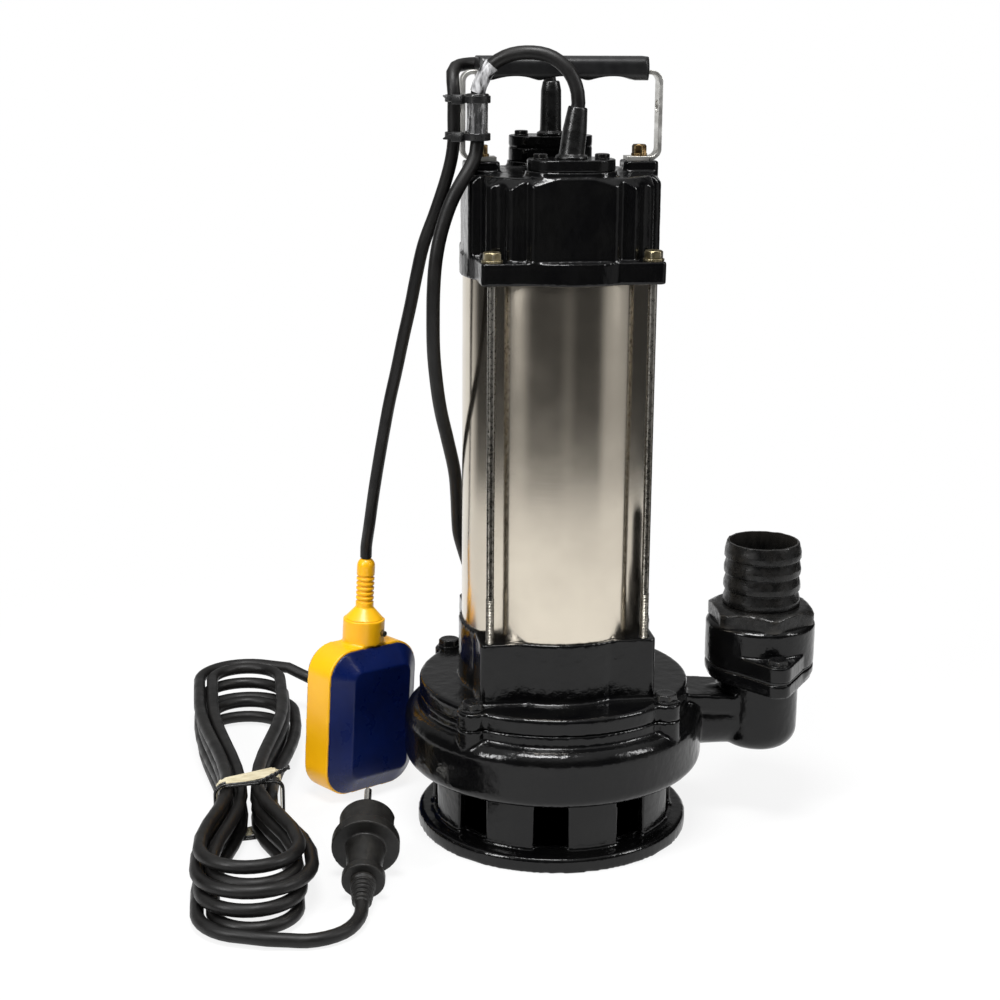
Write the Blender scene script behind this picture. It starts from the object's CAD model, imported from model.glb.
# %% [markdown]
# # A submersible sump pump
# The CAD model gives every piece its size and place. This lesson dresses it: cast iron under thick black
# paint, a brushed steel motor tube, rubber cords, a moulded float and a plug. Each step says what the real
# piece is, how it could be made in Blender, and why this way was chosen.

import math

import bmesh
import bpy
from mathutils import Matrix, Vector, noise


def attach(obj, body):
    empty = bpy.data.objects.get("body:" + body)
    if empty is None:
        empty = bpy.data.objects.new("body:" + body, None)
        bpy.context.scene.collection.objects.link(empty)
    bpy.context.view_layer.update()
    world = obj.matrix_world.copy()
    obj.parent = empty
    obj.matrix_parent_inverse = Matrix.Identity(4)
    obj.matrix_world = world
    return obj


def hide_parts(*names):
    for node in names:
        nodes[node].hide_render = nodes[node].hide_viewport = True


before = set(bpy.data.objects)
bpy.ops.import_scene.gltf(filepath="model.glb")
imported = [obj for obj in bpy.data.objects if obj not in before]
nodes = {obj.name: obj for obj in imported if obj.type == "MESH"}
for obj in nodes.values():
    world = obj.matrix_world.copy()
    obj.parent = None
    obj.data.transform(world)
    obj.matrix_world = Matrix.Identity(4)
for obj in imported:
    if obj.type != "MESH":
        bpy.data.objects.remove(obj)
scene = bpy.context.scene
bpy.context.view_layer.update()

# %% [markdown]
# ## Camera
# The pump is seen from the front, a little from above and a little from the discharge side. A camera could
# be aimed with a constraint, but its heading, pitch and roll are known, so its axes are written as vectors.
# A long lens keeps the perspective mild.

# %% Camera
camera_place = Vector((-0.2102, -1.192, 0.5383))
camera_pitch, camera_yaw, camera_roll = 0.246, -0.03, 0.007
studio_turn = Matrix.Rotation(math.radians(-10), 3, "Z")
ahead = studio_turn @ Vector((math.sin(camera_yaw) * math.cos(camera_pitch),
                              math.cos(camera_yaw) * math.cos(camera_pitch), -math.sin(camera_pitch)))
level = ahead.cross(Vector((0, 0, 1))).normalized()
upright = level.cross(ahead)
camera_right = level * math.cos(camera_roll) + upright * math.sin(camera_roll)
camera_up = upright * math.cos(camera_roll) - level * math.sin(camera_roll)
camera = bpy.data.objects.new("studio_camera", bpy.data.cameras.new("studio_camera"))
camera.data.lens = 69.06
camera.data.shift_y = -0.0195
camera.matrix_world = (Matrix.Translation(camera_place)
                       @ Matrix((camera_right, camera_up, -ahead)).transposed().to_4x4())
scene.collection.objects.link(camera)
scene.camera = camera
print("camera heading", [round(v, 3) for v in ahead])

# %% [markdown]
# ## Helpers for shapes
# Nearly every piece here is a stack of closed loops with a skin between them: a turned gland boot, a hex
# head, a swept cord or a moulded plug. One function that skins loops serves them all, and small functions
# make the loops. Sizes are written in millimetres, as on a drawing, and scaled once.

# %% Skin a stack of loops
MILLI = 0.001


def skin(loops, closed_ends=True):
    """Points and faces of the skin over loops of equal count; points are in millimetres."""
    count = len(loops[0])
    points = [Vector(p) * MILLI for loop in loops for p in loop]
    faces = [(i * count + k, i * count + (k + 1) % count, (i + 1) * count + (k + 1) % count, (i + 1) * count + k)
             for i in range(len(loops) - 1) for k in range(count)]
    if closed_ends:
        faces.append(tuple(range(count - 1, -1, -1)))
        faces.append(tuple((len(loops) - 1) * count + k for k in range(count)))
    return points, faces


def piece(name, parts, body="pump", sharp=38):
    """One object from skins, each with an optional placing matrix in metres, riding on a body."""
    points, faces = [], []
    for part in parts:
        skin_points, skin_faces = part[0]
        placing = part[1] if len(part) > 1 else Matrix.Identity(4)
        start = len(points)
        points += [placing @ p for p in skin_points]
        faces += [tuple(start + v for v in face) for face in skin_faces]
    mesh = bpy.data.meshes.new(name)
    mesh.from_pydata(points, [], faces)
    mesh.update()
    made = bpy.data.objects.new(name, mesh)
    scene.collection.objects.link(made)
    tidy_skin(made, sharp)
    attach(made, body)
    return made


def tidy_skin(made, sharp=38):
    """Faces turned outward, smooth shading, sharp over the given angle."""
    work = bmesh.new()
    work.from_mesh(made.data)
    bmesh.ops.recalc_face_normals(work, faces=work.faces)
    work.to_mesh(made.data)
    work.free()
    made.data.shade_smooth()
    made.data.set_sharp_from_angle(angle=math.radians(sharp))


def circle_loop(radius, z, count=72):
    return [(radius * math.cos(2 * math.pi * k / count), radius * math.sin(2 * math.pi * k / count), z)
            for k in range(count)]


def eased(profile, reach, steps=3):
    """A profile with each inner corner rounded by a short curve that starts reach before it."""
    points = [Vector(p) for p in profile]
    out = [points[0]]
    for before, corner, after in zip(points, points[1:], points[2:]):
        come, go = before - corner, after - corner
        start = corner + come.normalized() * min(reach, come.length / 2.1)
        end = corner + go.normalized() * min(reach, go.length / 2.1)
        for i in range(steps + 1):
            t = i / steps
            out.append(start * (1 - t) ** 2 + corner * 2 * t * (1 - t) + end * t * t)
    out.append(points[-1])
    return out


def turned(profile, reach=0.4, count=72, closed_ends=True):
    """Skin of a shape turned on a lathe, from its (radius, height) profile."""
    return skin([circle_loop(max(r, 0.01), z, count) for r, z in eased(profile, reach)], closed_ends)


def placed(at, along=(0, 0, 1), spin=0.0):
    """Matrix that puts a piece made about +Z at a point in millimetres, pointing along a direction."""
    turn = Vector((0, 0, 1)).rotation_difference(Vector(along).normalized()).to_matrix().to_4x4()
    return Matrix.Translation(Vector(at) * MILLI) @ turn @ Matrix.Rotation(math.radians(spin), 4, "Z")


print("helpers for loops are ready")

# %% [markdown]
# A cord follows a route of points. A Bezier curve could be drawn by hand, but the CAD route is known, so a
# Catmull-Rom curve is passed through its points and sampled finely. Small tubes and strips are swept along
# such a curve with a frame that is carried from ring to ring without twist.

# %% Curves and sweeps
def through(route, step=5.0):
    """Points about step apart on a smooth curve through the route."""
    points = [Vector(p) for p in route]
    points = [points[0] * 2 - points[1]] + points + [points[-1] * 2 - points[-2]]
    out = []
    for a, b, c, d in zip(points, points[1:], points[2:], points[3:]):
        knots = [0.0]
        for p, q in ((a, b), (b, c), (c, d)):
            knots.append(knots[-1] + max((q - p).length, 1e-6) ** 0.5)
        t0, t1, t2, t3 = knots
        count = max(1, round((c - b).length / step))
        for i in range(count):
            t = t1 + (t2 - t1) * i / count
            ab = a * ((t1 - t) / (t1 - t0)) + b * ((t - t0) / (t1 - t0))
            bc = b * ((t2 - t) / (t2 - t1)) + c * ((t - t1) / (t2 - t1))
            cd = c * ((t3 - t) / (t3 - t2)) + d * ((t - t2) / (t3 - t2))
            left = ab * ((t2 - t) / (t2 - t0)) + bc * ((t - t0) / (t2 - t0))
            right = bc * ((t3 - t) / (t3 - t1)) + cd * ((t - t1) / (t3 - t1))
            out.append(left * ((t2 - t) / (t2 - t1)) + right * ((t - t1) / (t2 - t1)))
    out.append(points[-2])
    return out


def carried_frames(points):
    """A tangent, a side and an upward vector at each point, carried along without twist."""
    frames = []
    for i, point in enumerate(points):
        way = (points[min(i + 1, len(points) - 1)] - points[max(i - 1, 0)]).normalized()
        if not frames:
            side = way.cross(Vector((0, 0, 1)) if abs(way.z) < 0.9 else Vector((1, 0, 0))).normalized()
        else:
            side = (frames[-1][1] - way * frames[-1][1].dot(way)).normalized()
        frames.append((way, side, way.cross(side)))
    return frames


def swept(points, section, sizes=None):
    """Skin of a section, a list of (side, up) pairs, carried along points and scaled by sizes."""
    points = [Vector(p) for p in points]
    sizes = sizes or [1.0] * len(points)
    return skin([[p + side * (u * size) + up * (v * size) for u, v in section]
                 for p, (_, side, up), size in zip(points, carried_frames(points), sizes)])


def round_section(radius, count=12):
    return [(radius * math.cos(2 * math.pi * k / count), radius * math.sin(2 * math.pi * k / count))
            for k in range(count)]


def flat_section(width, thick):
    """Rounded flat strip: width along the side direction."""
    w, t = width / 2, thick / 2
    return [(w, 0), (w - t * 0.5, t * 0.85), (0, t), (-w + t * 0.5, t * 0.85), (-w, 0),
            (-w + t * 0.5, -t * 0.85), (0, -t), (w - t * 0.5, -t * 0.85)]


def route_length(points):
    return sum((Vector(b) - Vector(a)).length for a, b in zip(points, points[1:]))


print("curves are ready")

# %% [markdown]
# ## Cords
# The power cord is one piece of 8.5 mm rubber lead. It leaves the front boot, arches over to the left post,
# hangs behind the pump and ends in a hank of loops with the plug. Rope could be simulated, but a cord that
# was put away by hand has a known lay, so it is a curve through planned points. The hank is a formula:
# loops laid to and fro, wound in and out, one layer over the other.

# %% Route of the hank
hank_centre = (-203.0, 46.0)
hank_near, hank_near_step = 170.0, 10.0
hank_far, hank_far_step = 158.0, 12.0
hank_low, hank_layer = 5.45, 9.2
hank_inner, hank_step = 23.2, 9.6
hank_turns = (1.5, 3.0, 4.5)
hank_first, hank_last = 0.272, 5.8
waist_y, waist_near, waist_far = -46.0, 94.0, 160.0
waist_left, waist_right = 18.4, 23.0
run_share = 0.22
cord_diameter = 8.5


def hank_half_width(t):
    """Half width of the loop at turn t: it winds in and out between the reversals."""
    a, b, c = hank_turns
    way = a - t if t < a else t - a if t < b else c - t if t < c else t - c
    return hank_inner + hank_step * way


def layers_climbed(t):
    """One layer up along the run at each reversal."""
    climbs = [min(max((t - turn) / run_share + 0.5, 0.0), 1.0) for turn in hank_turns]
    return sum(c * c * (3 - 2 * c) for c in climbs)


def drawn_in(y, most):
    """How far the runs are drawn in at the waist."""
    u = (y - waist_y) / (waist_near if y < waist_y else waist_far)
    return most * math.cos(math.pi / 2 * u) ** 2 if abs(u) < 1 else 0.0


def hank_point(t):
    """Run, fold, run, fold: the place at turn t. Each layer's folds lie further back than those below."""
    w, u, layers = hank_half_width(t), t - math.floor(t), layers_climbed(t)
    near, far = hank_near - hank_near_step * layers, hank_far - hank_far_step * (3 - layers)
    h, fold = run_share / 2, 0.5 - run_share
    if u < h or u >= 1 - h:
        y = far - (far + near) * ((u if u < h else u - 1) + h) / (2 * h)
        x = w - drawn_in(y, waist_right)
    elif u < h + fold:
        a = math.pi * (u - h) / fold
        x, y = w * math.cos(a), -near - w * math.sin(a)
    elif u < 0.5 + h:
        y = -near + (far + near) * (u - 0.5 + h) / (2 * h)
        x = -w + drawn_in(y, waist_left)
    else:
        a = math.pi * (u - 0.5 - h) / fold
        x, y = -w * math.cos(a), far + w * math.sin(a)
    return Vector((hank_centre[0] + x, hank_centre[1] + y, hank_low + hank_layer * layers))


hank_samples = 360
hank_line = [hank_point(hank_last + (hank_first - hank_last) * i / hank_samples) for i in range(hank_samples + 1)]
print("cord in the hank", round(route_length(hank_line)), "mm")

# %% [markdown]
# The way in and out of the hank, and the way into the plug, are the points of the CAD route. The straight
# bits at the ends follow the boot and the plug's relief, so that the cord leaves them squarely.

# %% Power cord
boot_lean = math.radians(7)
boot_way = Vector((math.sin(boot_lean), 0, math.cos(boot_lean)))
power_exit = Vector((0, -38, 447)) + boot_way * 29
power_route = [
    (3.2, -38, 484), (0.6, -36.9, 492.2), (-4.2, -34.9, 499.2), (-10.9, -32.1, 504.3), (-18.6, -28.9, 506.8),
    (-30.6, -24.4, 506.8), (-38.8, -21.4, 504.4), (-45.8, -18.8, 499.8), (-50.3, -17.3, 493.9),
    (-53.1, -15.7, 487.6), (-54.1, -14.8, 483.6), (-54.3, -14.4, 480.6), (-54.3, -14.4, 468),
    (-54.3, -14.4, 453), (-55.2, -15.2, 446.5), (-58.2, -17.4, 439.8), (-62.6, -20.3, 433), (-67, -22.5, 426.2),
    (-72.2, -24, 416), (-78.1, -25, 398.2), (-81.3, -26, 381.8), (-82.5, -25, 364.4), (-82.5, -22, 345.3),
    (-81.7, -17, 325.6), (-79.3, -10, 305.1), (-75.4, 0, 283.6), (-69.5, 12, 261.1), (-63.2, 26, 236.1),
    (-60.4, 37.5, 216), (-58.6, 48, 200), (-56.4, 58, 185), (-51, 70, 167), (-44.5, 82, 147), (-39, 94, 125),
    (-35.5, 104.5, 102.5), (-35, 114.3, 80), (-36, 125, 58), (-39, 134, 38), (-44, 142.5, 21),
    (-51, 152, 10), (-60, 164, 5.2), (-71, 176, 4.3), (-84.2, 186.5, 4.6), (-98.2, 195, 7),
    (-113.4, 202, 11.5), (-128.5, 207.6, 17), (-142.6, 212.9, 23), (-155.6, 218.2, 28.5)]
plug_route = [(-183, -165, 4.6), (-173, -166.5, 4.3), (-161.5, -164.5, 4.3), (-151, -158.5, 4.3),
              (-143.7, -149.5, 4.7)]
plug_centre = Vector((-131.6, -76.6, 21.5))
plug_heading, plug_tilt = math.radians(83), math.radians(14)
plug_way = Vector((math.cos(plug_tilt) * math.cos(plug_heading), math.cos(plug_tilt) * math.sin(plug_heading),
                   math.sin(plug_tilt)))
plug_tail = 56.3
plug_entry = plug_centre - plug_way * plug_tail
hank_way_in = (hank_line[0] - hank_line[1]).normalized() * cord_diameter
hank_way_out = (hank_line[-1] - hank_line[-2]).normalized() * cord_diameter
power_line = (through([power_exit, power_exit + boot_way * 2] + power_route + [hank_line[0] + hank_way_in * 2])
              + [hank_line[0] + hank_way_in] + hank_line + [hank_line[-1] + hank_way_out]
              + through([hank_line[-1] + hank_way_out * 2] + plug_route
                        + [plug_entry - plug_way * cord_diameter, plug_entry]))


def cord_tube(name, line, diameter):
    """A round cord: a tube of mesh carried along its line."""
    return piece(name, [(swept(line, round_section(diameter / 2, 32)),)], sharp=60)


power_lead = cord_tube("power_lead", power_line, cord_diameter)
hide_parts("power_cord", "cord_hank", "plug_lead")

# %% [markdown]
# The float's cord is a little thinner. It leaves the rear boot, is tied to the same post, and swings out to
# the float, which hangs from it.

# %% Float cord
float_diameter = 8.0
float_exit = Vector((0, 38, 482))
float_route = [
    (0, 38, 483.5), (-1.1, 37.7, 489.4), (-4.4, 36.8, 494.5), (-9.2, 35.5, 497.8), (-15, 34, 499),
    (-28, 30.4, 499.2), (-40, 26.4, 499.2), (-50.5, 22, 499.1), (-58.5, 17.2, 498.7), (-64.6, 11, 497.2),
    (-67.2, 5.2, 494), (-67.6, 0.4, 488.8), (-67.3, -2, 482), (-67.3, -2, 468), (-67.3, -2, 453.5),
    (-68.4, -1, 443.5), (-71.3, 1.2, 430.5), (-77.9, 5, 409), (-85.1, 9, 387.9), (-89.1, 13, 368.5),
    (-92.6, 18, 348), (-96.7, 23, 327.2), (-100.8, 28.5, 304.6), (-105.1, 34, 282.4), (-108.6, 41, 259.4),
    (-111.8, 47.5, 237), (-114.6, 54.5, 214.6), (-116.9, 61.8, 192.6), (-118.1, 67.4, 180.5),
    (-118.7, 70.6, 173.5), (-118.8, 72, 166.5)]
float_line = through([float_exit] + float_route)
float_lead = cord_tube("float_lead", float_line, float_diameter)
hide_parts("float_cord")

# %% [markdown]
# ## Finishes
# Each finish is a Principled shader with noise in object space: one noise shifts the colour in patches, one
# shifts the roughness, and a chain of bumps gives lumps, pebbles and fine grain at true size. Image textures
# would need unwrapping. Noise needs none, and looks the same from every side.

# %% Finish builder
def paint_tone(red, green, blue):
    """Scene-linear colour from display values of 0 to 255."""
    return tuple((v / 255 / 12.92) if v <= 10 else ((v / 255 + 0.055) / 1.055) ** 2.4
                 for v in (red, green, blue)) + (1.0,)


def finish(name, tone, rough, second=None, metal=0.0, patch=15.0, swing=0.08, bumps=(), worn=None,
           worn_from=0.53, stretch=(1, 1, 1), **sockets):
    """Material: tone and second mix in patches, bumps are (size mm, height mm) pairs, worn shows on edges."""
    material = bpy.data.materials.new(name)
    material.use_nodes = True
    tree = material.node_tree
    add, link = tree.nodes.new, tree.links.new
    shader = tree.nodes["Principled BSDF"]
    shader.inputs["Metallic"].default_value = metal
    for socket, value in sockets.items():
        shader.inputs[socket.replace("_", " ")].default_value = value
    place = add("ShaderNodeTexCoord")
    scaled = add("ShaderNodeMapping")
    scaled.inputs["Scale"].default_value = stretch
    link(place.outputs["Object"], scaled.inputs["Vector"])

    def grain(size, detail=3.0):
        made = add("ShaderNodeTexNoise")
        made.inputs["Scale"].default_value = 1000.0 / size
        made.inputs["Detail"].default_value = detail
        link(scaled.outputs["Vector"], made.inputs["Vector"])
        return made.outputs["Fac"]

    ramp = add("ShaderNodeValToRGB")
    ramp.color_ramp.elements[0].position, ramp.color_ramp.elements[1].position = 0.36, 0.64
    ramp.color_ramp.elements[0].color, ramp.color_ramp.elements[1].color = tone, second or tone
    link(grain(patch, 5.0), ramp.inputs["Fac"])
    colour = ramp.outputs["Color"]
    if worn:
        edges = add("ShaderNodeNewGeometry")
        edge_ramp = add("ShaderNodeMapRange")
        edge_ramp.inputs["From Min"].default_value = worn_from
        edge_ramp.inputs["From Max"].default_value = worn_from + 0.08
        link(edges.outputs["Pointiness"], edge_ramp.inputs["Value"])
        over = add("ShaderNodeMix")
        over.data_type = "RGBA"
        over.inputs["B"].default_value = worn
        link(edge_ramp.outputs["Result"], over.inputs["Factor"])
        link(colour, over.inputs["A"])
        colour = over.outputs["Result"]
    link(colour, shader.inputs["Base Color"])
    spread = add("ShaderNodeMapRange")
    spread.inputs["From Min"].default_value, spread.inputs["From Max"].default_value = 0.3, 0.7
    spread.inputs["To Min"].default_value = max(rough - swing, 0.02)
    spread.inputs["To Max"].default_value = min(rough + swing, 1.0)
    link(grain(patch * 0.4), spread.inputs["Value"])
    link(spread.outputs["Result"], shader.inputs["Roughness"])
    before = None
    for size, height in bumps:
        bump = add("ShaderNodeBump")
        bump.inputs["Distance"].default_value = height * MILLI
        link(grain(size, 2.0), bump.inputs["Height"])
        if before:
            link(before, bump.inputs["Normal"])
        before = bump.outputs["Normal"]
    if before:
        link(before, shader.inputs["Normal"])
    return material


def coat(made, material):
    """Gives an object this material alone."""
    if not made.material_slots:
        made.data.materials.append(material)
    for slot in made.material_slots:
        slot.material = material


cord_rubber = finish("cord_rubber", paint_tone(14, 13, 13), 0.46, paint_tone(22, 21, 20), patch=30, swing=0.1,
                     bumps=((3.0, 0.05), (0.5, 0.03)), Specular_IOR_Level=0.3)
coat(power_lead, cord_rubber)
coat(float_lead, cord_rubber)
print("finishes can be made")

# %% [markdown]
# ## Studio
# The surround is white for the camera, and a dark room with a few upright cards for everything else. Black
# gloss and bright steel need something dark to show: that is what makes them read as gloss and steel, and
# the cards draw the upright bands in the tube. The floor mixes a little of its own light into what the
# camera and mirrors see, so it stays near white and keeps a soft shadow. It has none under the strainer.

# %% Floor and surround
floor_radius = 0.88
floor_points = [Vector((floor_radius * math.cos(a), floor_radius * math.sin(a), -0.0004))
                for a in (2 * math.pi * k / 128 for k in range(128))]
floor_mesh = bpy.data.meshes.new("studio_floor")
floor_mesh.from_pydata(floor_points, [], [tuple(range(128))])
studio_floor = bpy.data.objects.new("studio_floor", floor_mesh)
scene.collection.objects.link(studio_floor)

floor_paint = bpy.data.materials.new("studio_floor_paint")
floor_paint.use_nodes = True
tree = floor_paint.node_tree
tree.nodes.remove(tree.nodes["Principled BSDF"])
matte = tree.nodes.new("ShaderNodeBsdfDiffuse")
glow = tree.nodes.new("ShaderNodeEmission")
glow.inputs["Color"].default_value = (1, 1, 1, 1)
seen = tree.nodes.new("ShaderNodeLightPath")
share = tree.nodes.new("ShaderNodeMath")
share.operation = "MULTIPLY"
blend = tree.nodes.new("ShaderNodeMixShader")
spot = tree.nodes.new("ShaderNodeTexCoord")
from_middle = tree.nodes.new("ShaderNodeVectorMath")
from_middle.operation = "LENGTH"
outside_base = tree.nodes.new("ShaderNodeMapRange")
outside_base.inputs["From Min"].default_value, outside_base.inputs["From Max"].default_value = 0.068, 0.074
to_rim = tree.nodes.new("ShaderNodeMapRange")
to_rim.inputs["From Min"].default_value, to_rim.inputs["From Max"].default_value = 0.3, 0.7
to_rim.inputs["To Min"].default_value, to_rim.inputs["To Max"].default_value = 0.85, 1.0
lit = tree.nodes.new("ShaderNodeMath")
lit.operation = "MULTIPLY"
pale = tree.nodes.new("ShaderNodeMath")
pale.operation = "MULTIPLY"
pale.inputs[1].default_value = 0.86
tree.links.new(from_middle.outputs["Value"], to_rim.inputs["Value"])
tree.links.new(to_rim.outputs["Result"], share.inputs[1])
tree.links.new(outside_base.outputs["Result"], pale.inputs[0])
tree.links.new(pale.outputs[0], matte.inputs["Color"])
tree.links.new(spot.outputs["Object"], from_middle.inputs[0])
tree.links.new(from_middle.outputs["Value"], outside_base.inputs["Value"])
mirrored = tree.nodes.new("ShaderNodeMath")
mirrored.operation = "MULTIPLY_ADD"
mirrored.inputs[1].default_value = 0.75
tree.links.new(seen.outputs["Is Glossy Ray"], mirrored.inputs[0])
tree.links.new(seen.outputs["Is Camera Ray"], mirrored.inputs[2])
tree.links.new(mirrored.outputs[0], share.inputs[0])
tree.links.new(share.outputs[0], lit.inputs[0])
tree.links.new(outside_base.outputs["Result"], lit.inputs[1])
tree.links.new(lit.outputs[0], blend.inputs["Fac"])
tree.links.new(matte.outputs[0], blend.inputs[1])
tree.links.new(glow.outputs[0], blend.inputs[2])
tree.links.new(blend.outputs[0], tree.nodes["Material Output"].inputs["Surface"])
coat(studio_floor, floor_paint)

world = bpy.data.worlds.new("studio_surround")
scene.world = world
world.use_nodes = True
tree = world.node_tree
toward = tree.nodes.new("ShaderNodeTexCoord")
parts_of = tree.nodes.new("ShaderNodeSeparateXYZ")
toward_front = tree.nodes.new("ShaderNodeMath")
toward_front.operation = "MULTIPLY"
toward_front.inputs[1].default_value = -1.0
azimuth = tree.nodes.new("ShaderNodeMath")
azimuth.operation = "ARCTAN2"
round_studio = tree.nodes.new("ShaderNodeMapRange")
round_studio.inputs["From Min"].default_value, round_studio.inputs["From Max"].default_value = -math.pi, math.pi
cards = tree.nodes.new("ShaderNodeValToRGB")
room_dark, room_back = 0.045, 0.95
# Upright cards: middle and half width in degrees to the right of the camera, and brightness.
card_list = [(-58, 12, 0.24), (3, 6, 0.13), (64, 19, 0.4)]
back_from = 128
stops = [(-180, room_back), (-back_from - 8, room_back), (-back_from + 8, room_dark)]
for middle_at, half, strength in card_list:
    stops += [(middle_at - half - 5, room_dark), (middle_at - half + 5, strength),
              (middle_at + half - 5, strength), (middle_at + half + 5, room_dark)]
stops += [(back_from + 10, room_dark), (back_from + 26, room_back), (180, room_back)]
ramp = cards.color_ramp
while len(ramp.elements) < len(stops):
    ramp.elements.new(0.5)
for element, (degrees, strength) in zip(ramp.elements, stops):
    element.position = 0.5 + degrees / 360
    element.color = (strength, strength, strength, 1)
low_share = tree.nodes.new("ShaderNodeMapRange")
low_share.inputs["From Min"].default_value, low_share.inputs["From Max"].default_value = 0.0, 0.12
low_share.inputs["To Min"].default_value, low_share.inputs["To Max"].default_value = 1.0, 0.3
low_cards = tree.nodes.new("ShaderNodeMath")
low_cards.operation = "MULTIPLY"
high = tree.nodes.new("ShaderNodeMapRange")
high.inputs["From Min"].default_value, high.inputs["From Max"].default_value = 0.5, 0.85
high.inputs["To Max"].default_value = 0.7
brightest = tree.nodes.new("ShaderNodeMath")
brightest.operation = "MAXIMUM"
seen = tree.nodes.new("ShaderNodeLightPath")
to_camera = tree.nodes.new("ShaderNodeMix")
to_camera.inputs["B"].default_value = 1.0
tree.links.new(toward.outputs["Generated"], parts_of.inputs[0])
tree.links.new(parts_of.outputs["Y"], toward_front.inputs[0])
tree.links.new(parts_of.outputs["X"], azimuth.inputs[0])
tree.links.new(toward_front.outputs[0], azimuth.inputs[1])
tree.links.new(azimuth.outputs[0], round_studio.inputs["Value"])
tree.links.new(round_studio.outputs["Result"], cards.inputs["Fac"])
tree.links.new(parts_of.outputs["Z"], low_share.inputs["Value"])
tree.links.new(cards.outputs["Color"], low_cards.inputs[0])
tree.links.new(low_share.outputs["Result"], low_cards.inputs[1])
tree.links.new(parts_of.outputs["Z"], high.inputs["Value"])
tree.links.new(low_cards.outputs[0], brightest.inputs[0])
tree.links.new(high.outputs["Result"], brightest.inputs[1])
tree.links.new(brightest.outputs[0], to_camera.inputs["A"])
tree.links.new(seen.outputs["Is Camera Ray"], to_camera.inputs["Factor"])
tree.links.new(to_camera.outputs["Result"], tree.nodes["Background"].inputs["Strength"])
tree.nodes["Background"].inputs["Color"].default_value = (1, 1, 1, 1)
print("floor radius", floor_radius, "m")

# %% [markdown]
# Three soft lamps do the rest: narrow upright ones at the left and right that draw highlights down the
# round pieces, and a wide one overhead for the tops of the castings.

# %% Lamps
def soft_lamp(name, place, aim, width, height, watts):
    data = bpy.data.lights.new(name, "AREA")
    data.shape = "RECTANGLE"
    data.size, data.size_y = width, height
    data.energy = watts
    lamp = bpy.data.objects.new(name, data)
    lamp.location = place
    lamp.rotation_euler = (Vector(aim) - Vector(place)).to_track_quat("-Z", "Y").to_euler()
    scene.collection.objects.link(lamp)
    return lamp


lamps = [
    soft_lamp("left_lamp", (-1.5, -0.9, 1.25), (0, 0, 0.25), 0.3, 0.9, 22),
    soft_lamp("right_lamp", (1.5, -0.7, 1.2), (0, 0, 0.25), 0.25, 0.8, 13),
    soft_lamp("top_lamp", (-0.2, -0.45, 1.7), (0, 0, 0.2), 0.6, 0.4, 24)]
print("lamps", len(lamps))

# %% [markdown]
# ## Castings
# The base, the volute, the bearing housing, the cap, the glands and the discharge are iron castings under
# thick gloss paint. The CAD solids are right in size but have razor edges and dead flat faces. Bevels on a
# CAD mesh break at its long triangles, so the skin is rebuilt from small even cells, smoothed, and then
# pushed in and out by soft noise. The edges come out rounded, as sand casting and paint leave them.

# %% Recast a CAD solid
def cloud(name, size):
    texture = bpy.data.textures.new(name, "CLOUDS")
    texture.noise_scale = size * MILLI
    texture.noise_depth = 2
    return texture


broad_cloud, pebble_cloud = cloud("broad_cloud", 9.0), cloud("pebble_cloud", 2.2)


def recast(name, node, cell, smooth=3, broad=0.25, pebble=0.12, body="pump", extra=()):
    """A copy of a CAD node's skin in even cells of the given size in millimetres, softened and roughened."""
    work = bmesh.new()
    work.from_mesh(nodes[node].data)
    bmesh.ops.remove_doubles(work, verts=work.verts, dist=1e-6)
    for points, faces in extra:
        verts = [work.verts.new(p) for p in points]
        for face in faces:
            work.faces.new([verts[v] for v in face])
    mesh = bpy.data.meshes.new(name)
    work.to_mesh(mesh)
    work.free()
    made = bpy.data.objects.new(name, mesh)
    scene.collection.objects.link(made)
    cells = made.modifiers.new("cells", "REMESH")
    cells.mode = "VOXEL"
    cells.voxel_size = cell * MILLI
    soften = made.modifiers.new("soften", "SMOOTH")
    soften.iterations = smooth
    for texture, height in ((broad_cloud, broad), (pebble_cloud, pebble)):
        if height:
            push = made.modifiers.new(texture.name, "DISPLACE")
            push.texture = texture
            push.texture_coords = "LOCAL"
            push.strength = height * MILLI
            push.mid_level = 0.5
    settled = bpy.data.meshes.new_from_object(made.evaluated_get(bpy.context.evaluated_depsgraph_get()))
    made.modifiers.clear()
    made.data = settled
    settled.shade_smooth()
    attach(made, body)
    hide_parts(node)
    return made


castings = {
    "suction_base": recast("base_casting", "suction_base", 1.3),
    "volute_casing": recast("volute_skin", "volute_casing", 1.2),
    "bearing_housing": recast("housing_casting", "bearing_housing", 1.2, broad=0.3, pebble=0.14),
    "top_cap": recast("cap_casting", "top_cap", 1.1, broad=0.4, pebble=0.2),
    "discharge_flange": recast("discharge_casting", "discharge_flange", 0.9, broad=0.2, pebble=0.12),
    "power_gland": recast("power_gland_plate", "power_gland", 0.7, broad=0.12, pebble=0.08),
    "float_gland": recast("float_gland_plates", "float_gland", 0.7, broad=0.12, pebble=0.08)}
for node, made in castings.items():
    print(node, len(made.data.polygons), "faces")

# %% [markdown]
# The paint is nearly black and glossy, with orange peel. It is thick enough to run over the edges, so they
# show no bare iron.

# %% Black gloss paint
black_gloss = finish("black_gloss", paint_tone(6, 6, 7), 0.15, paint_tone(11, 11, 11), patch=22, swing=0.07,
                     bumps=((5.0, 0.25), (1.3, 0.06), (0.5, 0.015)), Specular_IOR_Level=0.3)
for node, made in castings.items():
    coat(made, black_gloss)

# %% [markdown]
# ## Hose tail
# The hose tail is thin iron with four saw-shaped barbs over a hexagon collar. Its lips are sharper than the
# cells above could keep, so it is skinned from loops: round loops for the barbs and the bore, and loops of
# a hexagon with clipped corners for the collar.

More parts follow.
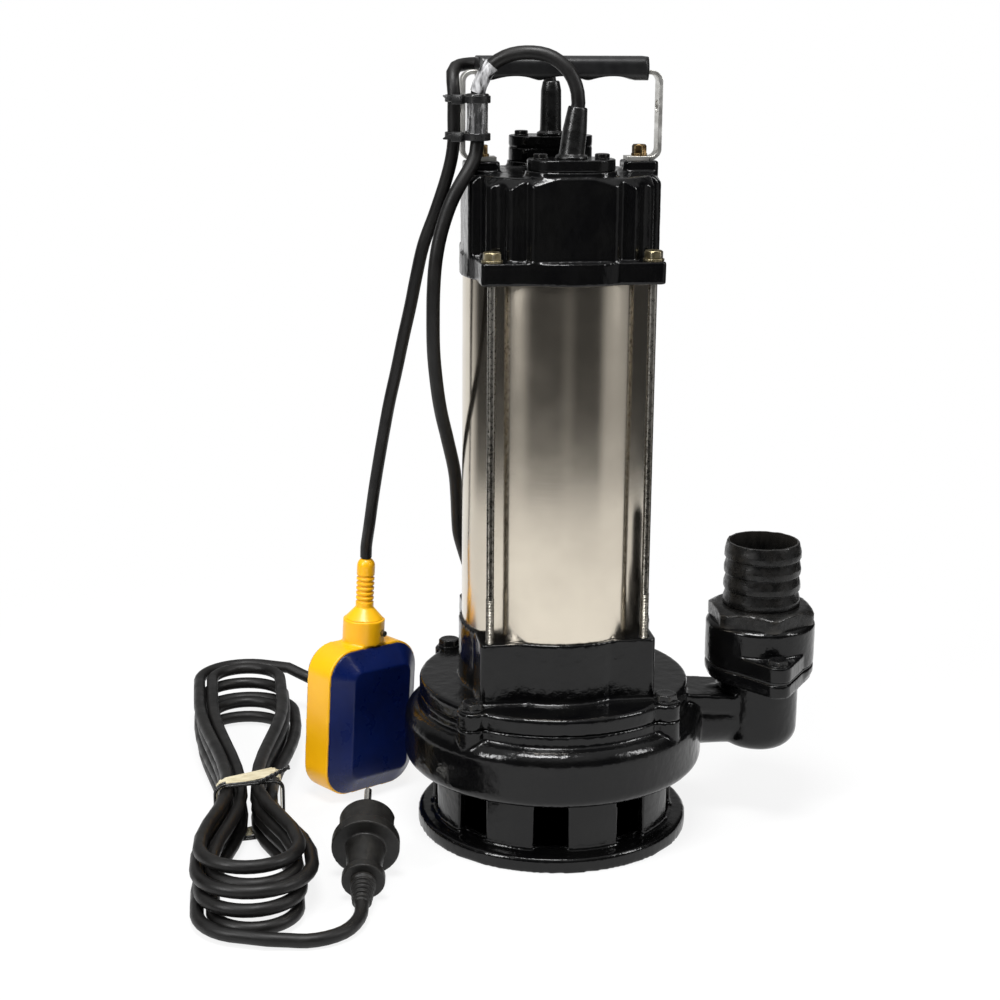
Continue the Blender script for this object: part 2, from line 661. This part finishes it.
# %% Hexagons
def hex_loop(flats, z, limit=None, count=72):
    """Loop of a hexagon measured across its flats, with nothing further out than limit."""
    half = flats / 2
    out = []
    for k in range(count):
        a = 2 * math.pi * k / count
        r = half / math.cos((a + math.pi / 6) % (math.pi / 3) - math.pi / 6)
        r = min(r, limit or r, half * 1.135)
        out.append((r * math.cos(a), r * math.sin(a), z))
    return out


def hex_head(flats, low, head, rise=0.22, top=True):
    """Loops of a hexagon head with the usual round chamfer on its top, from low upward."""
    corner, cut = flats / 2 * 1.155, head * rise
    steps = 5
    loops = [hex_loop(flats, low), hex_loop(flats, low + head - cut)]
    loops += [hex_loop(flats, low + head - cut * (1 - i / steps), corner - (corner - flats * 0.47) * i / steps)
              for i in range(1, steps + 1)]
    if top:
        loops += [circle_loop(flats * 0.4, low + head), circle_loop(flats * 0.3, low + head - 0.2)]
    return loops


outlet_x = 141.0
collar_z, tail_z, barb_rise, tail_r, bore_r = 135.5, 146.5, 10.75, 25.5, 22.5
tail_profile = [(tail_r - 1.3, tail_z)]
for i in range(4):
    z = tail_z + i * barb_rise
    tail_profile += [(tail_r + 0.1, z + 0.3), (tail_r + 0.1, z + 4.2), (tail_r - 1.4, z + barb_rise - 0.3)]
tail_profile += [(tail_r - 1.6, tail_z + 4 * barb_rise), (bore_r, tail_z + 4 * barb_rise)]
tail_loops = ([circle_loop(29.8, 120.5), circle_loop(29.8, 134.6)]
              + hex_head(64, collar_z, 11, 0.3, top=False)
              + [circle_loop(r, z) for r, z in eased(tail_profile, 0.5)]
              + [circle_loop(bore_r, 150), circle_loop(bore_r, 120.5)])
hose_tail = piece("hose_tail_casting", [(skin(tail_loops, False), placed((outlet_x, 0, 0)))], sharp=50)
print("hose tail", len(hose_tail.data.polygons), "faces")

# %% [markdown]
# A ring of loops that starts and ends at the same place would leave a seam, so the last loop is joined back
# to the first. The tail then gets the same roughening as the castings.

# %% Close and roughen the hose tail
work = bmesh.new()
work.from_mesh(hose_tail.data)
bmesh.ops.bridge_loops(work, edges=[e for e in work.edges if e.is_boundary])
bmesh.ops.recalc_face_normals(work, faces=work.faces)
bmesh.ops.subdivide_edges(work, edges=[e for e in work.edges if e.calc_length() > 0.004], cuts=2,
                          use_grid_fill=True)
for vert in work.verts:
    rough = noise.fractal(vert.co * 260, 0.7, 2.0, 3) * 0.00028
    vert.co += vert.normal * rough
work.to_mesh(hose_tail.data)
work.free()
hose_tail.data.shade_smooth()
hose_tail.data.set_sharp_from_angle(angle=math.radians(46))
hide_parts("hose_tail")
tail_black = finish("tail_black", paint_tone(13, 13, 13), 0.3, paint_tone(24, 23, 22), patch=8, swing=0.12,
                    bumps=((3.0, 0.15), (0.8, 0.06)), worn=paint_tone(60, 57, 53), Specular_IOR_Level=0.3)
coat(hose_tail, tail_black)

# %% [markdown]
# ## Motor tube
# The motor sits in a rolled stainless tube. It stays a plain turned shape: what makes it steel is the fine
# brushing round it. Brushing could be drawn as a texture, but stretched noise does it: the noise runs long
# round the tube and short along it, and the shader draws reflections out along the tube, across the brushing.

# %% Tube and brushed steel
tube_low, tube_high, tube_out, tube_in = 143.0, 370.0, 61.0, 59.5
tube_profile = [(tube_in, tube_low), (tube_out, tube_low), (tube_out, tube_high), (tube_in, tube_high)]
tube_loops = [circle_loop(r, z, 256) for r, z in eased(tube_profile, 0.25)]
motor_tube = piece("motor_shell", [(skin(tube_loops + [tube_loops[0]], False),)], sharp=50)
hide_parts("motor_tube")

brushed = finish("brushed_tube", paint_tone(216, 207, 191), 0.19, paint_tone(204, 195, 180), metal=1.0, patch=60,
                 swing=0.02, Anisotropic=0.7, Anisotropic_Rotation=0.25)
tree = brushed.node_tree
shader = tree.nodes["Principled BSDF"]
tangent = tree.nodes.new("ShaderNodeTangent")
tangent.direction_type = "RADIAL"
tangent.axis = "Z"
tree.links.new(tangent.outputs[0], shader.inputs["Tangent"])
place = tree.nodes.new("ShaderNodeTexCoord")
long_way = tree.nodes.new("ShaderNodeMapping")
long_way.inputs["Scale"].default_value = (12, 12, 420)
streak = tree.nodes.new("ShaderNodeTexNoise")
streak.inputs["Scale"].default_value = 3.0
streak.inputs["Detail"].default_value = 2.0
lines = tree.nodes.new("ShaderNodeBump")
lines.inputs["Distance"].default_value = 0.00002
lines.inputs["Strength"].default_value = 0.5
tree.links.new(place.outputs["Object"], long_way.inputs["Vector"])
tree.links.new(long_way.outputs["Vector"], streak.inputs["Vector"])
tree.links.new(streak.outputs["Fac"], lines.inputs["Height"])
tree.links.new(lines.outputs["Normal"], shader.inputs["Normal"])
coat(motor_tube, brushed)
print("tube", tube_high - tube_low, "mm long")

# %% [markdown]
# ## Bolts
# Every bolt is a stack of loops: shank, washer face, hexagon and chamfer. The long tie bolts show their
# rolled thread above the block, so the loops there step in and out once per turn.

# %% Bolts
def bolt(shank_r, length, washer_r, washer, flats, head, thread=None, teeth=0):
    """Skin of a hexagon bolt that points down from z = 0; thread is (low, high, pitch) below it."""
    loops = [circle_loop(shank_r * 0.75, -length), circle_loop(shank_r, -length + 0.8)]
    if thread:
        low, top, pitch = thread
        z = low
        while z < top:
            loops += [circle_loop(shank_r - 0.42, z), circle_loop(shank_r, z + pitch * 0.42),
                      circle_loop(shank_r, z + pitch * 0.58)]
            z += pitch
        loops.append(circle_loop(shank_r - 0.3, top))
    loops += [circle_loop(shank_r, -0.6), circle_loop(shank_r, 0)]
    for r, z in eased([(shank_r, 0), (washer_r, 0), (washer_r, washer), (flats * 0.5, washer + 0.1)], 0.3):
        loops.append([(x * (1 + (0.03 if teeth and r > washer_r - 0.4 and (k * teeth // 36) % 2 else 0)),
                       y * (1 + (0.03 if teeth and r > washer_r - 0.4 and (k * teeth // 36) % 2 else 0)), h)
                      for k, (x, y, h) in enumerate(circle_loop(max(r, 0.01), z))])
    return skin(loops + hex_head(flats, washer + 0.15, head - 0.15))


tie_pitch, cap_flange_z = 49.8, 384.0
tie_places = [(x * tie_pitch, y * tie_pitch, cap_flange_z) for x in (-1, 1) for y in (-1, 1)]
tie_bolt = bolt(2.7, 255, 6.4, 1.5, 10.5, 4.9, thread=(131 - 384, 172 - 384, 1.0), teeth=18)
tie_bolts = piece("tie_rods", [(tie_bolt, placed(at, spin=17 * i)) for i, at in enumerate(tie_places)])
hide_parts("tie_bolts")

casing_bolt = bolt(4, 20, 7.8, 1.4, 13, 4)
casing_places = [(88 * math.cos(math.radians(a)), 88 * math.sin(math.radians(a)), 103) for a in (45, 135, 225, 315)]
casing_bolts = piece("casing_hex_bolts", [(casing_bolt, placed(at, spin=23 * i))
                                          for i, at in enumerate(casing_places)])
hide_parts("casing_bolts")

outlet_bolt = bolt(4, 19.5, 7.2, 0.9, 12, 3)
outlet_bolts = piece("discharge_hex_bolts", [(outlet_bolt, placed((outlet_x, s * 44.5, 117.5), spin=11 * s))
                                             for s in (-1, 1)])
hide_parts("discharge_bolts")

foot_bolt = bolt(3, 16.5, 4.9, 1.6, 8.2, 5.5, teeth=18)
foot_bolts = piece("handle_hex_bolts", [(foot_bolt, placed((s * 50, 0, 443.5), spin=9 * s)) for s in (-1, 1)])
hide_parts("handle_bolts")

gland_small = bolt(2, 14, 4.6, 0.5, 8, 2.4)
gland_tall = bolt(2, 23, 4.6, 0.5, 8, 2.4)
gland_bolts = piece("gland_hex_screws",
                    [(gland_small, placed((x, -38, 445), spin=x)) for x in (-19, 19)]
                    + [(gland_tall, placed((x, 38, 454), spin=x)) for x in (-19, 19)])
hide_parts("gland_screws")

yellow_zinc = finish("yellow_zinc", paint_tone(150, 140, 112), 0.4, paint_tone(108, 98, 74), metal=1.0, patch=5,
                     bumps=((1.2, 0.03),), worn=paint_tone(214, 205, 180))
bronze_zinc = finish("bronze_zinc", paint_tone(124, 100, 66), 0.4, paint_tone(78, 64, 44), metal=1.0, patch=3,
                     bumps=((1.0, 0.04),), worn=paint_tone(190, 172, 130))
bright_zinc = finish("bright_zinc", paint_tone(176, 174, 166), 0.34, paint_tone(140, 136, 126), metal=1.0, patch=4,
                     bumps=((1.0, 0.03),))
painted_bolt = finish("painted_bolt", paint_tone(12, 12, 13), 0.24, paint_tone(22, 22, 22), patch=4,
                      bumps=((2.0, 0.12), (0.7, 0.04)), worn=paint_tone(56, 54, 50), Specular_IOR_Level=0.3)
rod_steel = finish("rod_steel", paint_tone(150, 146, 138), 0.3, paint_tone(112, 108, 100), metal=1.0, patch=4,
                   bumps=((1.0, 0.03),), worn=paint_tone(200, 196, 188))
coat(tie_bolts, yellow_zinc)
tie_bolts.data.materials.append(rod_steel)
for face in tie_bolts.data.polygons:
    face.material_index = int(face.center.z < (cap_flange_z - 0.5) * MILLI)
coat(foot_bolts, bronze_zinc)
coat(gland_bolts, painted_bolt)
coat(casing_bolts, painted_bolt)
coat(outlet_bolts, painted_bolt)
for node in ("base_screws", "oil_plug", "float_screw"):
    coat(nodes[node], bright_zinc)
print("bolts", 4 + 4 + 2 + 2 + 4)

# %% [markdown]
# ## Boots
# Each cord leaves its gland through a moulded rubber boot that tapers round it. A boot is turned, so it is a
# lathe profile. The front one leans a little towards the discharge, as the stiff cord pulls it.

# %% Boots
def boot_skin(straight, length, base_r, tip_r):
    """Foot flange, straight sleeve and taper, from the gland plate up; the sleeve leans from z = 2."""
    return turned([(7.9, -6), (7.9, 0), (base_r + 2.4, 0), (base_r + 2.0, 1.6), (base_r + 0.1, 2.6),
                   (base_r - 0.3, straight + 2.0), (tip_r, length + 1.4), (tip_r - 0.6, length + 2.0),
                   (4.3, length + 2.0)], 0.6, 96)


def leaning(skin_made, lean, start):
    """Bends what is above start over by lean, in the XZ plane."""
    points, faces = skin_made
    out = []
    for p in points:
        rise = p.z - start
        if rise > 0:
            p = Vector((p.x * math.cos(lean) + rise * math.sin(lean), p.y,
                        start + rise * math.cos(lean) - p.x * math.sin(lean) * min(1.0, rise / 0.004)))
        out.append(p)
    return out, faces


power_boot = piece("power_boot_moulding", [(leaning(boot_skin(14.5, 29, 7.7, 5.9), boot_lean, 0.002),
                                            placed((0, -38, 445)))], sharp=60)
float_boot = piece("float_boot_moulding", [(boot_skin(26, 32, 6.8, 5.4), placed((0, 38, 454)))], sharp=60)
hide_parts("power_boot")
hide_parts("float_boot")
boot_rubber = finish("boot_rubber", paint_tone(13, 13, 13), 0.3, paint_tone(21, 21, 21), patch=9, swing=0.1,
                     bumps=((2.5, 0.08), (0.6, 0.03)), Specular_IOR_Level=0.45)
for boot in (power_boot, float_boot):
    coat(boot, boot_rubber)

# %% [markdown]
# ## Handle
# The strap is bent from flat stainless bar. Its CAD solid has the right holes and bends, so it stays, and a
# Bevel modifier breaks its edges. The grip is a plastic moulding with finger scallops: it is recast from
# its solid, which rounds its edges.

# %% Strap and grip
strap = nodes["handle_strap"]
weld = strap.modifiers.new("weld", "WELD")
weld.merge_threshold = 1e-6
edge = strap.modifiers.new("edge", "BEVEL")
edge.width, edge.segments = 0.35 * MILLI, 2
edge.limit_method, edge.angle_limit = "ANGLE", math.radians(40)
edge.harden_normals = True
strap_steel = finish("strap_steel", paint_tone(236, 235, 231), 0.46, paint_tone(206, 204, 198), metal=1.0, patch=12,
                     bumps=((2.0, 0.02), (0.4, 0.012)), stretch=(1, 0.2, 1))
coat(strap, strap_steel)

grip = recast("grip_moulding", "handle_grip", 0.6, smooth=2, broad=0.06, pebble=0.03)
grip_black = finish("grip_black", paint_tone(18, 18, 19), 0.36, paint_tone(26, 26, 27), patch=10, swing=0.06,
                    bumps=((0.8, 0.03),), Specular_IOR_Level=0.4)
coat(grip, grip_black)
print("grip", len(grip.data.polygons), "faces")

# %% [markdown]
# ## Ties and sleeve at the post
# Two black cable ties hold both cords to the left post. A tie is a flat strap round whatever it holds, so
# its line is the hull of the two cords and the post. Each has a head with a slot, and a cut tail that
# sticks out. A ferrule of bright foil covers the power cord between them, with a strip of pale tape above.

# %% Hull of circles
power_post, float_post, post_edge = (-54.3, -14.4), (-67.3, -2.0), (-61.75, 5.1)
sleeve_r = cord_diameter / 2 + 2.4


def hull(points):
    """Convex hull of points in the plane, turning left."""
    points = sorted(set(points))

    def half(row):
        out = []
        for p in row:
            while len(out) > 1 and ((out[-1][0] - out[-2][0]) * (p[1] - out[-2][1])
                                    - (out[-1][1] - out[-2][1]) * (p[0] - out[-2][0])) <= 0:
                out.pop()
            out.append(p)
        return out[:-1]
    return half(points) + half(points[::-1])


def tie_line(grow):
    circles = ((power_post, sleeve_r + 0.15), (float_post, float_diameter / 2 + 0.25), (post_edge, 1.9))
    return hull([(cx + (r + grow) * math.cos(a), cy + (r + grow) * math.sin(a)) for (cx, cy), r in circles
                 for a in (2 * math.pi * k / 40 for k in range(40))])


def band(inner, outer, low, high, ease=0.3):
    """Skin of a flat band between two closed lines of equal count."""
    count = len(outer)
    inner = [min(inner, key=lambda q: (q[0] - p[0]) ** 2 + (q[1] - p[1]) ** 2) for p in outer]
    mixed = lambda t: [(a[0] + (b[0] - a[0]) * t, a[1] + (b[1] - a[1]) * t) for a, b in zip(inner, outer)]
    rows = [(0.0, low), (1 - ease, low), (1.0, low + ease), (1.0, high - ease), (1 - ease, high), (0.0, high)]
    loops = [[(x, y, z) for x, y in mixed(t)] for t, z in rows]
    return skin(loops + [loops[0]], False)


tie_heights = (479.0, 456.5)
tie_parts = []
for i, z in enumerate(tie_heights):
    outer, inner = tie_line(1.3), tie_line(0.05)
    tie_parts.append((band(inner, outer, z - 2.2, z + 2.2),))
print("ties round", round(route_length([(x, y, 0) for x, y in tie_line(1.3)])), "mm")

# %% [markdown]
# The head is a small box with a rounded edge and a slot, skinned from rounded rectangles. The tail is a flat
# strip with a pointed end.

# %% Tie heads and tails
def soft_box(width, depth, height, corner=0.8, edge=0.5, count=8):
    """Skin of a box about the origin with rounded upright corners and eased top and bottom."""
    def loop(grow, z):
        w, d, r = width / 2 + grow, depth / 2 + grow, corner
        return [(sx * (w - r) + r * math.cos(a), sy * (d - r) + r * math.sin(a), z)
                for sx, sy, start in ((1, 1, 0), (-1, 1, 90), (-1, -1, 180), (1, -1, 270))
                for a in (math.radians(start + 90 * k / (count - 1)) for k in range(count))]
    h = height / 2
    return skin([loop(-edge, -h), loop(-edge * 0.3, -h + edge * 0.3), loop(0, -h + edge), loop(0, h - edge),
                 loop(-edge * 0.3, h - edge * 0.3), loop(-edge, h)])


middle = Vector(((power_post[0] + float_post[0]) / 2, (power_post[1] + float_post[1]) / 2, 0))
out_way = Vector((-0.62, -0.78, 0)).normalized()
strip = flat_section(3.6, 1.2)
for z, rise in zip(tie_heights, (3.0, -2.0)):
    head_at = middle + out_way * (sleeve_r + 2.3) + Vector((0, 0, z))
    turn = math.degrees(math.atan2(out_way.y, out_way.x)) - 90
    tie_parts.append((soft_box(7.5, 4.6, 6.0), placed(head_at) @ Matrix.Rotation(math.radians(turn), 4, "Z")))
    along_head = Vector((-out_way.y, out_way.x, 0))
    tail = [head_at, head_at - along_head * 3 + out_way * 1.2,
            head_at - along_head * 6 + out_way * 2.4 + Vector((0, 0, rise * 0.3)),
            head_at - along_head * 9 + out_way * 2.8 + Vector((0, 0, rise * 0.7))]
    line = through(tail, 2.0)
    sizes = [1.0 if k < len(line) - 3 else (0.75, 0.5, 0.2)[k - len(line) + 3] for k in range(len(line))]
    tie_parts.append((swept(line, [(v, u) for u, v in strip], sizes),))
ties = piece("post_ties", tie_parts, sharp=45)
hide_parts("cable_ties")
tie_black = finish("tie_black", paint_tone(22, 22, 23), 0.32, paint_tone(34, 34, 34), patch=4, bumps=((0.8, 0.03),))
coat(ties, tie_black)

# %% [markdown]
# The ferrule is thin crimped metal: turned loops whose radius wanders, so its reflections break into the
# upright streaks of crushed foil. Its black rim is the end of a heat-shrunk collar. Above it the cord is
# wrapped in a thin shiny film.

# %% Ferrule, rim and film
sleeve_low, sleeve_high = 457.0, 480.0
sleeve_loops = []
for i in range(24):
    z = sleeve_low + (sleeve_high - sleeve_low) * i / 23
    loop = []
    for k in range(72):
        a = 2 * math.pi * k / 72
        crush = noise.noise(Vector((math.cos(a) * 2.2, math.sin(a) * 2.2, z * 0.05))) * 0.5 \
            + noise.noise(Vector((math.cos(a) * 5, math.sin(a) * 5, z * 0.22))) * 0.16
        r = sleeve_r + crush * (0.75 if 0 < i < 23 else 0.3) - 0.15
        loop.append((r * math.cos(a), r * math.sin(a), z))
    sleeve_loops.append(loop)
inner = [circle_loop(cord_diameter / 2 + 0.05, z, 72) for z in (sleeve_high, sleeve_low)]
sleeve = piece("cord_ferrule", [(skin(sleeve_loops + inner + [sleeve_loops[0]], False),
                                 placed((power_post[0], power_post[1], 0)))], sharp=35)
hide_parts("cord_sleeve")
foil = finish("foil", paint_tone(232, 232, 232), 0.22, paint_tone(196, 196, 198), metal=1.0, patch=6, swing=0.08,
              bumps=((2.2, 0.25), (0.7, 0.06)), stretch=(1, 1, 0.35))
coat(sleeve, foil)
rim = piece("ferrule_rim", [(turned([(cord_diameter / 2, 478.5), (sleeve_r + 0.5, 478.5), (sleeve_r + 0.7, 480.5),
                                     (sleeve_r + 0.2, 482.3), (cord_diameter / 2, 482.6)], 0.5),
                             placed((power_post[0], power_post[1], 0)))])
coat(rim, tie_black)
wrap_line = [p for p in power_line if p.x < -44.5 and 481.5 < p.z < 501.5]
wrap = piece("cord_wrap", [(swept(wrap_line, round_section(cord_diameter / 2 + 0.45, 28)),)])
wrap_film = finish("wrap_film", paint_tone(34, 34, 35), 0.22, paint_tone(214, 214, 216), patch=3.2, swing=0.08,
                   bumps=((2.0, 0.2), (0.7, 0.06)), stretch=(1, 1, 0.3), Specular_IOR_Level=0.6)
coat(wrap, wrap_film)
print("ferrule", sleeve_high - sleeve_low, "mm")

# %% [markdown]
# ## Plug
# The plug is an earthed mains plug in soft black plastic: a round body with two flats and earth notches,
# a finger collar, a ribbed neck and a ribbed relief. Its solid is right for the body, so that is recast,
# and the ribs and the relief are turned over it.

# %% Plug
plug_place = placed(plug_centre, plug_way)
plug_body = recast("plug_moulding", "plug_body", 0.6, smooth=3, broad=0.1, pebble=0.05)
plug_black = finish("plug_black", paint_tone(16, 15, 14), 0.45, paint_tone(26, 25, 23), patch=7, swing=0.08,
                    bumps=((0.9, 0.06), (0.35, 0.03)), worn=paint_tone(66, 63, 59), Specular_IOR_Level=0.35)
coat(plug_body, plug_black)
pins = nodes["plug_pins"]
pin_metal = finish("pin_metal", paint_tone(214, 212, 206), 0.16, paint_tone(190, 188, 182), metal=1.0, patch=3,
                   bumps=((0.8, 0.01),))
coat(pins, pin_metal)

relief_profile = [(4.3, -plug_tail)]
for i in range(5):
    z = -plug_tail + 1.0 + i * 3.4
    r = 6.1 + 0.45 * i
    relief_profile += [(r - 1.2, z), (r, z + 0.5), (r, z + 1.9), (r - 1.2, z + 2.4)]
relief_profile += [(8.0, -37.6), (8.0, -35.5)]
relief = piece("plug_strain_relief", [(turned(relief_profile, 0.35), plug_place)], sharp=50)
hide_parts("plug_relief")
coat(relief, plug_black)
print("plug relief", plug_tail - 36, "mm")

# %% [markdown]
# ## Tape and wire round the hank
# A band of crepe tape holds the hank at its waist, and a thin coated wire is twisted round it. The tape is a
# band over a rounded outline whose surface is wrinkled by noise, and it runs a little askew.

# %% Tape
waist_half = (hank_inner + max(hank_step - waist_left, 1.5 * hank_step - waist_right) + 2.2
              + cord_diameter / 2)
waist_high = hank_low + 3 * hank_layer + cord_diameter / 2 + 0.5


def waist_line(grow, count=25, corner=6.0):
    """Rounded outline round the hank's waist, in X and Z."""
    w, low, high, r = waist_half + grow, 0.4, waist_high + 1.0 + grow, corner + grow
    out = []
    for sx, sz, start in ((1, 1, 0), (-1, 1, 90), (-1, 0, 180), (1, 0, 270)):
        cx = hank_centre[0] + sx * (w - r)
        cz = high - r if sz else low + r
        out += [(cx + r * math.cos(a), cz + r * math.sin(a))
                for a in (math.radians(start + 90 * k / (count - 1)) for k in range(count))]
    return out


def wound_tape(width, middle_y, askew, wrinkle, thick=0.5):
    outer, inner = waist_line(0.3), waist_line(0.3 - thick)
    loops = []
    for row, (line, v) in enumerate([(outer, v / 8 - 0.5) for v in range(9)] + [(inner, 0.5), (inner, -0.5)]):
        loop = []
        for k, (x, z) in enumerate(line):
            y = middle_y + v * width + askew * (x - hank_centre[0]) / waist_half
            push = noise.noise(Vector((x * 0.35, y * 0.9, z * 0.35))) * wrinkle if row < 9 else 0.0
            loop.append((x + push * 0.4 * (1 if x > hank_centre[0] else -1), y, max(z + push, 0.15)))
        loops.append(loop)
    return skin(loops + [loops[0]], False)


tape = piece("crepe_tape", [(wound_tape(14, hank_centre[1] + waist_y, 9, 0.9),)], sharp=60)
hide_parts("hank_tie")
crepe = finish("crepe", paint_tone(206, 198, 170), 0.7, paint_tone(184, 174, 144), patch=6, swing=0.08,
               bumps=((1.6, 0.25), (0.6, 0.12)), stretch=(1, 2.2, 1))
coat(tape, crepe)

# %% Wire
wire_line = []
for k in range(0, 2 * 80 + 1):
    line = waist_line(1.3, 20)
    x, z = line[(k + 20) % 80]
    wire_line.append(Vector((x, -9 - 3.2 * k / 80 + 3 * (x - hank_centre[0]) / waist_half, max(z, 1.0))))
twist_at = Vector((hank_centre[0] + 6, -14, waist_high + 2.4))
strands = []
for side in (0, math.pi):
    strands.append([twist_at + Vector((i * 0.8, -0.35 * i + 0.9 * math.sin(i * 0.9 + side),
                                       i * 0.55 + 0.9 * math.cos(i * 0.9 + side))) for i in range(26)])
wire = piece("twist_wire", [(swept(wire_line, round_section(0.9, 10)),)]
             + [(swept(strand, round_section(0.85, 10)),) for strand in strands], sharp=60)
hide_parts("hank_twist")
wire_black = finish("wire_black", paint_tone(20, 20, 20), 0.3, paint_tone(30, 30, 30), patch=5, bumps=((0.6, 0.02),))
coat(wire, wire_black)
print("wire", round(route_length(wire_line)), "mm round the waist")

# %% [markdown]
# ## Float
# The float is a closed moulding: a yellow frame, two domed blue faces, a yellow shoulder and a slotted
# neck where the cord enters. All are plain shapes with soft edges, so they are recast from their solids
# with fine cells and hardly any roughness.

# %% Float
float_pieces = {
    "float_frame": recast("float_frame_moulding", "float_frame", 0.8, smooth=3, broad=0.05, pebble=0, body="float"),
    "float_faces": recast("float_face_mouldings", "float_faces", 0.7, smooth=3, broad=0.05, pebble=0, body="float"),
    "float_neck": recast("float_neck_moulding", "float_neck", 0.4, smooth=2, broad=0, pebble=0, body="float")}
yellow_moulding = finish("yellow_moulding", paint_tone(250, 186, 14), 0.34, paint_tone(244, 176, 9), patch=30,
                         swing=0.05, bumps=((3.0, 0.04), (0.7, 0.015)), worn=paint_tone(250, 200, 60), worn_from=0.56)
blue_moulding = finish("blue_moulding", paint_tone(7, 25, 80), 0.3, paint_tone(5, 19, 66), patch=30,
                       swing=0.05, bumps=((3.0, 0.05), (0.8, 0.02)), worn=paint_tone(40, 66, 140),
                       worn_from=0.56, Specular_IOR_Level=0.3)
for node, made in float_pieces.items():
    coat(made, blue_moulding if node == "float_faces" else yellow_moulding)
print("float", [len(made.data.polygons) for made in float_pieces.values()])

# %% [markdown]
# ## Seals and inner parts
# Everything inside the motor and the float keeps its CAD solid and gets the finish of its real material, so
# a cut model or an opened cap looks right too.

# %% Inner parts
seal_black = finish("seal_black", paint_tone(30, 30, 30), 0.55, paint_tone(40, 40, 40), patch=6, bumps=((0.8, 0.03),))
race_steel = finish("race_steel", paint_tone(190, 191, 194), 0.14, paint_tone(176, 177, 180), metal=1.0, patch=8,
                    bumps=((0.6, 0.006),))
ball_steel = finish("ball_steel", paint_tone(214, 214, 216), 0.07, paint_tone(204, 204, 208), metal=1.0, patch=3,
                    swing=0.03, bumps=((0.5, 0.003),))
shaft_steel = finish("shaft_steel", paint_tone(178, 177, 172), 0.24, paint_tone(160, 158, 152), metal=1.0, patch=6,
                     bumps=((0.8, 0.01),), stretch=(1, 1, 6))
core_steel = finish("core_steel", paint_tone(120, 121, 124), 0.42, paint_tone(96, 97, 100), metal=1.0, patch=9,
                    bumps=((1.0, 0.05),), stretch=(0.2, 0.2, 8))
copper = finish("winding_copper", paint_tone(172, 92, 48), 0.36, paint_tone(140, 70, 34), metal=1.0, patch=4,
                bumps=((1.2, 0.3),), stretch=(1, 1, 3))
raw_iron = finish("raw_iron", paint_tone(104, 96, 84), 0.6, paint_tone(74, 66, 56), metal=0.6, patch=6,
                  bumps=((3.0, 0.3), (0.9, 0.08)))
bracket_alloy = finish("bracket_alloy", paint_tone(168, 170, 172), 0.42, paint_tone(146, 148, 150), metal=1.0,
                       patch=10, bumps=((1.2, 0.05),))
brass_spring = finish("brass_spring", paint_tone(206, 176, 104), 0.25, paint_tone(188, 156, 88), metal=1.0, patch=5,
                      bumps=((0.6, 0.01),))
pale_ceramic = finish("pale_ceramic", paint_tone(232, 228, 214), 0.22, paint_tone(224, 218, 202), patch=5,
                      bumps=((0.5, 0.006),))
dark_plastic = finish("dark_plastic", paint_tone(48, 48, 52), 0.5, paint_tone(58, 58, 62), patch=8,
                      bumps=((0.7, 0.03),))
pale_plastic = finish("pale_plastic", paint_tone(226, 222, 208), 0.4, paint_tone(214, 208, 192), patch=12,
                      bumps=((1.0, 0.02),))
inner_finishes = {
    seal_black: ("casing_seal", "tube_seals", "discharge_gasket"),
    race_steel: ("lower_bearing_outer", "lower_bearing_inner", "upper_bearing_outer", "upper_bearing_inner"),
    ball_steel: ("float_ball", "lower_bearing_balls", "upper_bearing_balls"),
    shaft_steel: ("shaft", "impeller_nut"), core_steel: ("rotor_core", "stator_core"),
    copper: ("stator_windings",), raw_iron: ("impeller",), bracket_alloy: ("bearing_bracket",),
    brass_spring: ("float_lever",), pale_ceramic: ("seal_seat",),
    dark_plastic: ("float_switch", "capacitor_clamp", "seal_ring"),
    pale_plastic: ("capacitor", "terminal_block")}
for material, names in inner_finishes.items():
    for node in names:
        coat(nodes[node], material)
print("inner parts", sum(len(names) for names in inner_finishes.values()))

# %% [markdown]
# ## Finish
# The visual model has to stay within the CAD model's box, so both boxes are written down to compare. The
# colours are shown as they are, without a film look.

# %% Write the sizes and finish
scene.view_settings.view_transform = "Standard"
